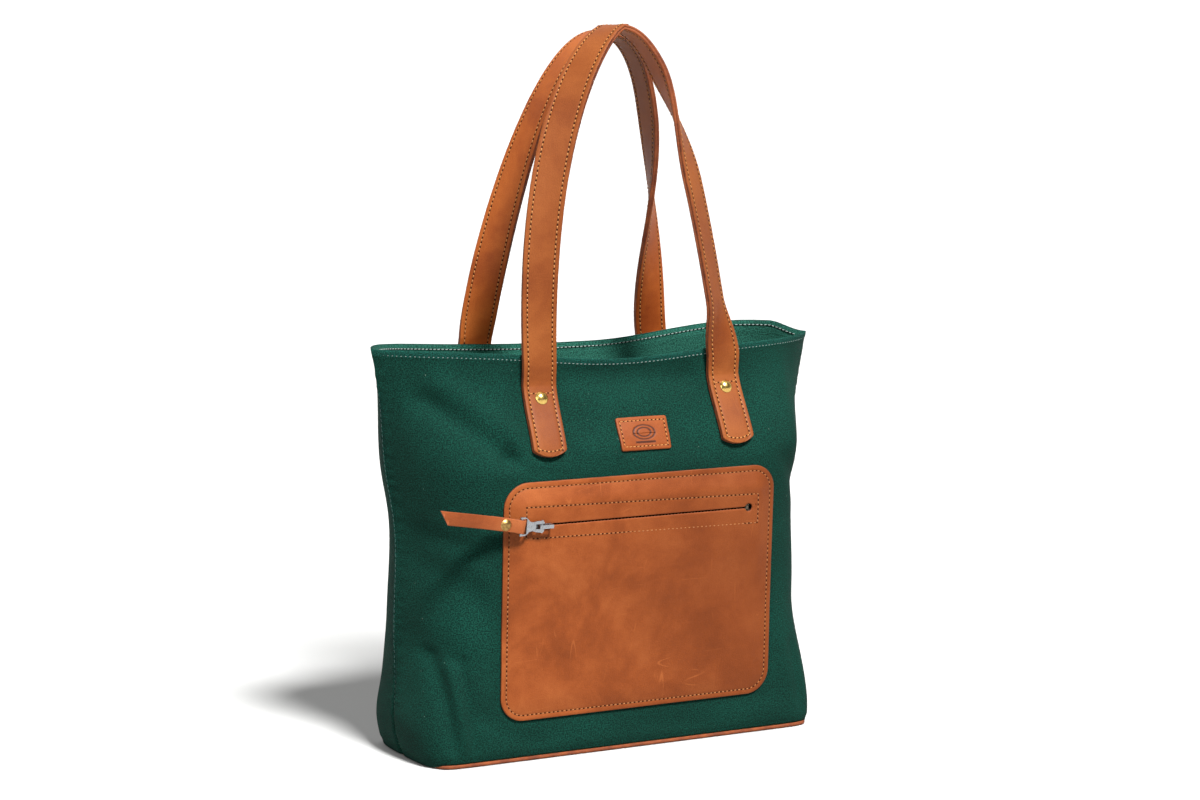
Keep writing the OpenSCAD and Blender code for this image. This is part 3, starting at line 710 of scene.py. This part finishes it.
def base_outline(inset, count=150):
    """The wall's foot, inset, as a loop. It is inset more under the sides, where the cloth hides its edge."""
    s = seam_steps(count)
    front = wall(FRONT, s, np.zeros(count))
    rear = wall(REAR, s[::-1], np.zeros(count))
    points = np.concatenate([front, rear[1:-1]])[:, :2]
    ahead, behind = np.roll(points, -1, 0), np.roll(points, 1, 0)
    along = unit(ahead - behind)
    hidden = 2.4 * smooth((np.abs(points[:, 0]) / (BASE_W / 2) - 0.93) / 0.05)
    return points + np.stack([-along[:, 1], along[:, 0]], -1) * (inset + hidden)[:, None]


# The base's section: inset and height, and 1 on its cut edge. Its middle: shares of the loop before it
BASE_SECTION = [(1.5, BASE_T, 0), (0.7, BASE_T, 1), (0.1, BASE_T - 0.25, 1), (-0.3, BASE_T - 0.9, 1),
                (-0.35, 1.2, 1), (0.0, 0.35, 1), (0.7, 0.0, 1), (4.0, 0.0, 0), (6.0, 0.12, 0), (8.0, 0.0, 0)]
TOP_SHARES, UNDER_SHARES = (0.02, 0.4, 0.8), (0.9, 0.6, 0.3, 0.02)
BASE_STITCHES = 6.0  # inset


def build_base():
    rings = [(base_outline(1.5) * share, BASE_T, 0) for share in TOP_SHARES]
    rings += [(base_outline(inset), height, edge) for inset, height, edge in BASE_SECTION]
    rings += [(base_outline(8.0) * share, 0.0, 0) for share in UNDER_SHARES]
    points = np.stack([np.insert(flat, 2, height, axis=1) for flat, height, _ in rings])
    row_material = [edge for _, _, edge in rings]
    piece = loft("leather_base", points, [STRAP, RAW_EDGE], row_material, points[..., :2].copy(), ring=True)
    place(piece, BAG, "base_leather", "base_panel")
    outline = base_outline(BASE_STITCHES)
    outline = np.insert(np.concatenate([outline, outline[:1]]), 2, 0.14, axis=1)
    down = np.tile([0, 0, -1.0], (len(outline), 1))
    place(sew("base_stitches", [(outline, down)], LEATHER_THREAD, HOLE, radius=0.3), BAG, "base_leather")


# ---- Handles ----

SPLAY = math.tan(math.radians(2))
END_OUT = 0.4 + LAYER_T  # middle of a sewn end, from the cloth
TOPS = {FRONT: (2, -24, 572), REAR: (9, 8, 568)}
# Each half of a handle bends towards x, height above the rim, and then towards x, y beside its top
BENDS = {
    (FRONT, -1): ((-83, 190), (-16, -36)),
    (FRONT, 1): ((67, 112), (47, -32)),
    (REAR, -1): ((-80, 5), (-57, 5)),
    (REAR, 1): ((75, 30), (74, 0)),
}
TIP_RADIUS = 25
TIP_STEPS = [0.05, 0.25, 0.6, 1.1, 1.8, 2.7, 3.8, 5.0]  # places along a sewn end, close together in its tip
STITCH_INSET = 4.4  # the pocket's stitches, from its edge
STRAP_INSET = 3.9  # the straps' stitches, from theirs
REAR_STRAIGHT = 0.1  # share of a rear half that stands straight, clear of the rim


def twist(side, end, up):
    """How far a handle has turned, in quarter turns, with up from 0 at a leg to 1 at the top."""
    if side == FRONT:
        return (1 - (1 - up) ** 1.1 if end < 0
                else 0.42 * smooth(up / 0.12) + 0.58 * smooth((up - 0.38) / 0.34))
    clear = np.maximum(up - REAR_STRAIGHT, 0) / (1 - REAR_STRAIGHT)
    return 1 - (1 - clear) ** 1.9 if end < 0 else smooth(clear / 0.62)


def cubic(corners, t):
    """A curve from the first of four corners to the last."""
    return ((1 - t) ** 3 * corners[0] + 3 * (1 - t) ** 2 * t * corners[1] + 3 * (1 - t) * t * t * corners[2]
            + t**3 * corners[3])


class Strap:
    """The run of a strap from its left tip over the top to its right one, seen from the front."""

    def __init__(self, side):
        self.side = side
        self.middle, self.face, self.half_width = [
            np.concatenate([a, b[::-1][1:]]) for a, b in zip(self.half(-1), self.half(1))]
        along = unit(np.gradient(self.middle, axis=0))
        self.across = unit(np.cross(along, self.face))
        self.face = unit(np.cross(self.across, along))
        self.length = path_length(self.middle)

    def half(self, end):
        """From a tip to the top: middles, directions out of the face seen from the front, half widths."""
        leg_x = LEG_MID + end * LEG_GAP / 2
        dist = np.concatenate([TIP_STEPS, np.linspace(7.2, SEWN_END, 22)])
        x = leg_x + end * (SEWN_END - dist) * SPLAY
        sewn, out = on_cloth(self.side, x, FOLD_Z - SEWN_END + dist, np.full_like(x, END_OUT))
        in_tip = np.minimum(dist, TIP_RADIUS)
        half_width = np.minimum(STRAP_W / 2, np.sqrt(2 * TIP_RADIUS * in_tip - in_tip**2))
        leg_y = wall(self.side, (LEG_MID + LEG_GAP / 2) / half_w(FOLD_Z), FOLD_Z)[1] + self.side * LEG_OUT
        (bend_x, bend_z), (top_bend_x, top_bend_y) = BENDS[self.side, end]
        top = TOPS[self.side]
        corners = np.array([[leg_x, leg_y, BODY_H - 8], [bend_x, leg_y, BODY_H + bend_z],
                            [top_bend_x, top_bend_y, top[2]], top])
        t = np.linspace(0, 1, 90)[:, None]
        arch = cubic(corners, t)
        rise = np.array([0.3, 0.6, 0.85])[:, None]  # shares of the way from the sewn end to the arch
        bridge = mix(sewn[-1], arch[0], smooth(rise))
        bridge[:, 2] = mix(sewn[-1, 2], arch[0, 2], rise[:, 0])
        middle = np.concatenate([sewn, bridge, arch])
        along = (unit(np.gradient(middle, axis=0)) * -end)[-len(arch):]
        level = unit(np.array([0, -1.0, 0]) + along * along[:, 1:2])
        turn = math.radians(90) * twist(self.side, end, t)
        twisted = level * np.cos(turn) + np.cross(level, along) * np.sin(turn)
        seen = -self.side * out
        face = np.concatenate([seen, mix(seen[-1], twisted[0], rise), twisted])
        half_widths = np.concatenate([half_width, np.full(len(middle) - len(half_width), STRAP_W / 2)])
        return middle, unit(face), half_widths

    def at(self, where, across, height):
        """Points at lengths along the strap, across it and above its middle, and the way out of its face."""
        middle, side, face = [
            np.stack([np.interp(where, self.length, values[:, k]) for k in range(3)], -1)
            for values in (self.middle, self.across, self.face)]
        return middle + unit(side) * across[:, None] + unit(face) * height, unit(face)


# The face of a layer from its edge inwards: from the edge, and height in steps above the leather's thickness
EDGE_STEP = 0.45
STRAP_FACE = [(0.0, -1.6), (0.18, -0.6), (0.7, 0), (2.4, 0.22), (STRAP_INSET - 1.3, 0.05),
              (STRAP_INSET, -0.55), (STRAP_INSET + 1.3, 0.05), (STRAP_INSET + 3.4, 0.1)]
AWAY_HIDE_U = 137  # where the layers that face away from the front view lie along their hide


def build_strap_layer(name, strap, face_up, materials):
    """One leather layer. face_up picks the layer on the side that the front view sees."""
    out = 1 if face_up else -1
    face = [(inset, out * (LAYER_T + EDGE_STEP * steps)) for inset, steps in STRAP_FACE]
    # Round the section, as side, inset from its edge and height: over the face and back under it
    section = [(-1, *at) for at in face] + [(0, 0, face[-1][1])] + [(1, *at) for at in reversed(face)]
    edges = (0, len(section) - 2, len(section) - 1, -1)
    section += [(1, 0.0, 0), (1, 3.0, 0), (1, 9.0, 0), (0, 0, 0), (-1, 9.0, 0), (-1, 3.0, 0), (-1, 0.0, 0)]
    row_material = np.zeros(len(section), int)
    row_material[list(edges)] = 1
    rows, uv = [], []
    for side, inset, height in section:
        across = side * np.maximum(strap.half_width - inset * strap.half_width / (STRAP_W / 2), 0)
        rows.append(strap.middle + strap.across * across[:, None] + strap.face * height)
        u_mm = strap.length + (0 if face_up else AWAY_HIDE_U)
        uv.append(np.stack([u_mm, np.full_like(u_mm, side * (STRAP_W / 2 - inset))], -1))
    return loft(name, np.stack(rows), materials, row_material, np.stack(uv))


def strap_stitch_runs(strap, face_up, sewn_ends):
    """Lines along both edges. With sewn_ends they go round the tips, and cross lines lie at the fold."""
    out = 1 if face_up else -1
    total = strap.length[-1]
    half = STRAP_W / 2 - STRAP_INSET
    start = STRAP_INSET + 0.6 if sewn_ends else SEWN_END + 4
    along = np.arange(start, total - start, 1.5)
    lines = [(along, np.full_like(along, half)), (along, np.full_like(along, -half))]
    if sewn_ends:
        w = np.linspace(-half, half, 16)
        tip = STRAP_INSET + TIP_RADIUS - np.sqrt(TIP_RADIUS**2 - w**2)
        cross = np.full_like(w, SEWN_END - 2.4)
        lines += [(where, w) for where in (tip, total - tip, cross, total - cross)]
    runs = []
    for where, across in lines:
        points, face = strap.at(where, across, out * (LAYER_T + 0.02))
        runs.append((points, out * face))
    return runs


def build_handles():
    for side, side_name in SIDE_NAMES.items():
        strap = Strap(side)
        pieces = []
        for layer, leather, face_up in (("outer", STRAP, side == FRONT), ("inner", STRAP_BACK, side == REAR)):
            piece = build_strap_layer(f"{side_name}_strap_{layer}", strap, face_up, [leather, RAW_EDGE])
            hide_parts(f"{side_name}_handle_{layer}", f"{side_name}_left_end_{layer}",
                        f"{side_name}_right_end_{layer}")
            runs = strap_stitch_runs(strap, face_up, layer == "outer")
            pieces += [piece, sew(f"{side_name}_strap_{layer}_stitches", runs, LEATHER_THREAD, HOLE)]
        for piece in pieces:
            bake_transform(piece)


# ---- Label ----


# The label's section from its cut edge to its middle, and back underneath: inset, and height off the cloth
LABEL_EDGE = [(0, 0.4), (0, 1.4), (0.15, 1.75), (0.6, 1.95), (2.0, 2.05), (2.9, 1.75)]
LABEL_FACE = [(3.8, 2.0)] + [(4.5 + k * 0.45, 2.0) for k in range(17)] + [(12.2, 2.0)]
LABEL_UNDER = [(12.2, 0.4), (2, 0.4)]
LABEL_STITCHES = 2.9  # inset


def label_loop(inset, count=240):
    """A loop of x, z round the label with rounded corners, inset from its outline."""
    r = max(LABEL_R - inset, 0.2)
    angles = np.linspace(0, 2 * math.pi, count, endpoint=False)
    ray = np.stack([np.cos(angles), np.sin(angles)], -1)
    reach = np.min(LABEL_HALF / np.maximum(np.abs(ray), 1e-6), axis=1)
    flat = np.clip(ray * reach[:, None], inset - LABEL_HALF, LABEL_HALF - inset)
    middle = LABEL_HALF - inset - r  # of the corner's curve
    over = np.abs(flat) - middle
    size = np.maximum(np.linalg.norm(over, axis=1), 1e-6)
    side = np.sign(np.stack([np.cos(angles + 1e-6), np.sin(angles + 1e-6)], -1))  # never 0, even on an axis
    rounded = side * middle + np.sign(flat) * over * (np.minimum(size, r) / size)[:, None]
    flat = np.where((over > 0).all(axis=1)[:, None], rounded, flat)
    return (flat + (LABEL_X, LABEL_Z)).T


def mark_relief(x, z):
    """The pressed mark: two oval rings with a bar under them."""
    ring = np.hypot((x - LABEL_X) / MARK_SIZE[0], (z - LABEL_Z - MARK_UP) / MARK_SIZE[1])
    groove = sum(bump(np.abs(ring - at) * 7, width) for at, width in zip(MARK_RINGS, (0.55, 0.5)))
    height, half, _ = MARK_BAR
    bar = bump(z - LABEL_Z - height, 0.45) * smooth((half - np.abs(x - LABEL_X)) / 1.5)
    return -0.4 * np.minimum(groove + bar, 1)


def build_label():
    points, uv = [], []
    for inset, off in LABEL_EDGE + LABEL_FACE + LABEL_UNDER:
        x, z = label_loop(inset)
        points.append(on_cloth(FRONT, x, z, off + mark_relief(x, z) * ((inset, off) in LABEL_FACE))[0])
        uv.append(np.stack([x + LABEL_UV_X, z], -1))
    row_material = [1, 1] + [0] * (len(points) - 2)
    piece = loft("leather_label", np.stack(points), [LABEL, RAW_EDGE], row_material, np.stack(uv), ring=True)
    place(piece, BAG, "label_leather", "label_patch")
    x, z = label_loop(LABEL_STITCHES)
    run = on_cloth(FRONT, np.append(x, x[0]), np.append(z, z[0]), np.full(len(x) + 1, 1.85))
    stitches = sew("label_stitches", [run], LEATHER_THREAD, HOLE, pitch=3.6, length=2.6, radius=0.36)
    place(stitches, BAG, "label_leather")


# ---- Zipped pocket ----

ZIP_Z, SLIT_X, SLIT_L, SLIT_W, HOLE_R = 189.7, 2.5, 190, 1.2, 3.2
LEATHER_T = 1.6
EDGE_OFF, ZIP_OFF = 0.3, 5.9  # underside at the pocket's edge, and outer face over the zip, from the cloth
LONG_POINTS, SHORT_POINTS = 150, 90  # along the loops' sides
# The pocket's section: inset from its edge, then outset from its slit, and how far below its outer face
POCKET_EDGE = [(0, LEATHER_T), (0, 0.55), (0.12, 0.22), (0.4, 0.05)]
POCKET_EDGE += [(inset, 0) for inset in (0.9, 1.6, 2.4, 3.2, 3.9, 4.4, 4.9, 5.6, 7, 9, 12)]
SLIT_EDGE = [(4, 0), (2.5, 0), (1.4, 0), (0.7, 0.04), (0.3, 0.14), (0.08, 0.35), (0, 0.7), (0, LEATHER_T)]


def turn_points(cx, cz, radius, start, end, count=24):
    a = np.radians(np.linspace(start, end, count))
    return np.stack([cx + radius * np.cos(a), cz + radius * np.sin(a)], -1)


def even_sides(sides):
    """Four runs of points, each made even, joined into one loop."""
    loop = []
    for side, count in zip(sides, (LONG_POINTS, SHORT_POINTS) * 2):
        loop.append(resample(side, np.linspace(0, path_length(side)[-1], count, endpoint=False)))
    return np.concatenate(loop)


def pocket_loop(inset):
    """The pocket's outline, inset, clockwise from the middle of its top left corner."""
    r = max(POCKET_R - inset, 4)
    dx, dz = POCKET_W / 2 - inset - r, POCKET_H / 2 - inset - r
    corners = [(-1, 1), (1, 1), (1, -1), (-1, -1), (-1, 1)]
    sides = []
    for k, (start, end) in enumerate(zip(corners, corners[1:])):
        angle = 90 - 90 * k
        turns = ((start, angle + 45, angle), (end, angle, angle - 45))
        sides.append(np.concatenate([turn_points(POCKET_X + sx * dx, POCKET_Z + sz * dz, r, first, last)
                                     for (sx, sz), first, last in turns]))
    return even_sides(sides)


def slit_loop(outset):
    """The slit with a round hole at each end, grown by outset, clockwise from the top left."""
    r, half = HOLE_R + outset, SLIT_W / 2 + outset
    meet = math.degrees(math.asin(min(half / r, 0.7)))
    left, right = SLIT_X - SLIT_L / 2, SLIT_X + SLIT_L / 2
    # Each side as turns: where, from what angle, to what angle
    sides = [[(left, 135, meet), (right, 180 - meet, 45)], [(right, 45, -45)],
             [(right, -45, meet - 180), (left, -meet, -135)], [(left, -135, -225)]]
    return even_sides([np.concatenate([turn_points(x, ZIP_Z, r, first, last) for x, first, last in side])
                       for side in sides])


def pocket_off(x, z):
    """How far the pocket's outer face stands off the cloth."""
    inside = pocket_edge_distance(x, z)
    below = np.maximum(np.abs(z - ZIP_Z) - 13, 0)
    pouch = 1 - 0.62 * smooth(below / 75) * (z < ZIP_Z)
    off = EDGE_OFF + LEATHER_T + (ZIP_OFF - EDGE_OFF - LEATHER_T) * smooth(inside / 19) * pouch
    ripple = 0.35 * np.sin(x * 0.045 + 1) * np.sin(z * 0.06) + 0.25 * np.sin(x * 0.11 + z * 0.05)
    off += ripple * smooth((ZIP_Z - 22 - z) / 30) * smooth(inside / 25)
    off += 0.18 * bump(inside - 2.2, 1.6) - 0.3 * bump(inside - STITCH_INSET, 0.9)
    return off - 0.25 * bump(box_distance(x, z), 0.9)


# The sewn oblong round the zip: its ends, and the heights of its long lines at each of them
BOX_ENDS = (-101.3, 106.2)
BOX_TOP = (204.4, 200.3)
BOX_LOW = (179.6, 176.7)


def box_distance(x, z):
    """Distance from the sewn oblong's lines."""
    left, right = BOX_ENDS
    share = (x - left) / (right - left)
    dx = np.maximum(left - x, x - right)
    dz = np.maximum(mix(*BOX_LOW, share) - z, z - mix(*BOX_TOP, share))
    return np.abs(np.where((dx > 0) & (dz > 0), np.hypot(dx, dz), np.maximum(dx, dz)))


def off_pocket(flat, off):
    """Points off the pocket's outer face, and the directions out of it."""
    x, z = flat.T
    return on_cloth(FRONT, x, z, pocket_off(x, z) + off)


def build_pocket():
    outer = [(pocket_loop(inset), drop) for inset, drop in POCKET_EDGE]
    inner = [(slit_loop(outset), drop) for outset, drop in SLIT_EDGE]
    fill = [(mix(outer[-1][0], inner[0][0], share), 0) for share in np.linspace(0, 1, 46)[1:-1]]
    skin = outer + fill + inner
    under = [(flat, LEATHER_T) for flat, _ in (fill[-3], fill[len(fill) // 2], outer[12])]
    row_material = [1, 1] + [0] * (len(skin) - 5) + [1, 1, 1] + [0] * len(under)
    points = np.stack([off_pocket(flat, -drop)[0] for flat, drop in skin + under])
    uv = np.stack([flat for flat, _ in skin + under])
    piece = loft("leather_pocket", points, [POCKET, RAW_EDGE], row_material, uv, ring=True)
    place(piece, BAG, "pocket_leather", "pocket_panel")
    border = pocket_loop(STITCH_INSET)
    (left, right), (top_left, top_right), (low_left, low_right) = BOX_ENDS, BOX_TOP, BOX_LOW
    oblong = np.array([[left, top_left], [right, top_right], [right, low_right], [left, low_left],
                       [left, top_left]])
    oblong = resample(oblong, np.linspace(0, path_length(oblong)[-1], 400))
    runs = [off_pocket(flat, 0.05) for flat in (np.concatenate([border, border[:1]]), oblong)]
    place(sew("pocket_stitches", runs, POCKET_THREAD, HOLE, length=2.0, radius=0.4), BAG, "pocket_leather")


# ---- Pull tab ----

TAB_W, TAB_L, TAB_LAYER, TAB_TILT = 10.6, 74, 1.25, math.radians(11)
LOOP_R = 1.75 + TAB_LAYER / 2
TAB_CUT = math.tan(math.radians(40))  # the free end's slant, along per across
UNDER_L = 27  # length of the layer folded under
TAB_BAR = (-108.0, 191.2, 9.9)  # the puller's bar: across, up the wall and out of it
LAP = 7  # the layers meet this far from the bar
CURL, CURL_START, CURL_L = 6, 16, 62  # how far the free end curls out, from where, and over what length
TAB_UV_U = 600  # where the tab lies along its hide


def on_front_plane(across, up, out, origin=0.0):
    """From places across, up and out of the front's tilted plane to the frame's own directions."""
    sin, cos = math.sin(FRONT_TILT), math.cos(FRONT_TILT)
    return np.array([across, -origin - up * sin - out * cos, up * cos - out * sin])


def build_pull_tab():
    bar = on_front_plane(*TAB_BAR, origin=BASE_D / 2)
    along = on_front_plane(math.cos(TAB_TILT), -math.sin(TAB_TILT), 0)
    up = on_front_plane(math.sin(TAB_TILT), math.cos(TAB_TILT), 0)
    out = on_front_plane(0, 0, 1)
    mid = TAB_LAYER / 2 + 0.02
    far = np.linspace(-TAB_L, -LAP, 90)
    curl = CURL * smooth((-far - CURL_START) / CURL_L) ** 1.5
    sweep = np.radians(np.linspace(115, -115, 24))
    path = np.concatenate([
        np.stack([far, mid + curl], -1),
        np.stack([LOOP_R * np.cos(sweep), LOOP_R * np.sin(sweep)], -1),
        np.stack([np.linspace(-LAP, -UNDER_L, 20), np.full(20, -mid)], -1)])
    tangent = unit(np.gradient(path, axis=0))
    normal = np.stack([-tangent[:, 1], tangent[:, 0]], -1)
    length = path_length(path)
    half, t = TAB_W / 2, TAB_LAYER / 2
    section = [(-half, -t * 0.6), (-half, t * 0.55), (-half + 0.15, t * 0.85), (-half + 0.5, t),
               (0, t + 0.08), (half - 0.5, t), (half - 0.15, t * 0.85), (half, t * 0.55),
               (half, -t * 0.6), (half - 0.3, -t), (0, -t), (-half + 0.3, -t)]
    row_material = [1, 1, 0, 0, 0, 0, 0, 1, 1, 0, 0, 0]
    rows, uv = [], []
    for across, height in section:
        where = np.maximum(length, (half - across) * TAB_CUT)
        flat = resample(path, where)
        flat = flat + np.stack([np.interp(where, length, normal[:, k]) for k in range(2)], -1) * height
        rows.append(bar + along * flat[:, :1] + out * flat[:, 1:] + up * across)
        uv.append(np.stack([where + TAB_UV_U, np.full(len(where), across)], -1))
    piece = loft("leather_pull_tab", np.stack(rows), [TAB, RAW_EDGE], row_material, np.stack(uv))
    place(piece, "tab", "tab_leather", "pull_tab")


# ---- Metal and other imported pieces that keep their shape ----


def finish_packed(name, material, bevel=0.0):
    """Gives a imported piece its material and, with bevel, edges rounded that wide."""
    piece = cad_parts[name]
    piece.data.materials.clear()
    piece.data.materials.append(material)
    if bevel:
        weld = piece.modifiers.new("weld", "WELD")
        weld.merge_threshold = 1e-6
        rounding = piece.modifiers.new("rounding", "BEVEL")
        rounding.width = bevel * MM
        rounding.segments = 2
        rounding.limit_method = "ANGLE"
        rounding.angle_limit = math.radians(35)
        piece.modifiers.new("normals", "WEIGHTED_NORMAL")


def finish_hardware():
    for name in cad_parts:
        if "rivet" in name:
            finish_packed(name, OLD_BRASS if name.startswith("pull_tab") else BRASS)
    tape = tape_material()
    for name in ("zip_tape_upper", "zip_tape_lower"):
        finish_packed(name, tape)
    for name in ("zip_teeth_upper", "zip_teeth_lower", "zip_top_stops", "zip_bottom_stop"):
        finish_packed(name, TEETH, 0.15)
    finish_packed("zip_slider", NICKEL, 0.3)
    finish_packed("zip_puller", NICKEL, 0.35)
    finish_packed("base_board", board_material())


# ---- Camera, light and floor ----


FLOOR_REACH, FLOOR_Z = 40.0, -0.0002  # metres
# Name, kind, place, power and size, the sun's as an angle
LIGHTS = (("key", "SUN", (0.1, -1.7, 2.5), 11.5, 0.22), ("fill", "AREA", (-1.9, -1.0, 1.0), 16, 1.4))


def build_stage():
    camera_data = bpy.data.cameras.new("camera")
    camera_data.sensor_width = 36
    camera_data.lens = 86.488
    camera = bpy.data.objects.new("camera", camera_data)
    camera.location = (-1.07306, -2.04606, 0.55895)
    aim = Vector((0.0025, 0, 0.2735)) - camera.location
    camera.rotation_euler = aim.to_track_quat("-Z", "Y").to_euler()
    bpy.context.scene.collection.objects.link(camera)
    bpy.context.scene.camera = camera

    corners = [(x * FLOOR_REACH, y * FLOOR_REACH, FLOOR_Z) for x, y in ((-1, -1), (1, -1), (1, 1), (-1, 1))]
    net = Net("pale_floor", roughness=0.95, Specular_IOR_Level=0.05)
    shade = net.noise(net.place(uv=False), 400, 2)
    material = net.finish(net.blend(shade, (157, 157, 156), (161, 161, 160)))
    make_object("floor", np.array(corners) / MM, [(0, 1, 2, 3)], [material])

    # A white backdrop behind the bag, and a dimmer studio on the camera's side
    world = bpy.data.worlds.new("world")
    world.use_nodes = True
    tree = world.node_tree
    direction = tree.nodes.new("ShaderNodeTexCoord")
    parts = tree.nodes.new("ShaderNodeSeparateXYZ")
    fade = tree.nodes.new("ShaderNodeMapRange")
    for key, value in (("From Min", -0.3), ("From Max", 0.45), ("To Min", 0.16), ("To Max", 1.15)):
        fade.inputs[key].default_value = value
    background = tree.nodes["Background"]
    background.inputs["Color"].default_value = (1, 1, 1, 1)
    tree.links.new(direction.outputs["Generated"], parts.inputs[0])
    tree.links.new(parts.outputs[1], fade.inputs["Value"])
    tree.links.new(fade.outputs[0], background.inputs["Strength"])
    bpy.context.scene.world = world
    # The key is a sun, so that the floor is as bright far away as near the bag
    for name, kind, where, power, size in LIGHTS:
        light_data = bpy.data.lights.new(name, kind)
        light_data.energy = power
        setattr(light_data, "angle" if kind == "SUN" else "size", size)
        light = bpy.data.objects.new(name, light_data)
        light.location = where
        light.rotation_euler = (Vector((0, 0, 0.25)) - light.location).to_track_quat("-Z", "Y").to_euler()
        bpy.context.scene.collection.objects.link(light)
    bpy.context.scene.view_settings.view_transform = "Standard"


build_stage()
build_canvas()
build_side_seams()
build_base()
build_handles()
build_label()
build_pocket()
build_pull_tab()
finish_hardware()
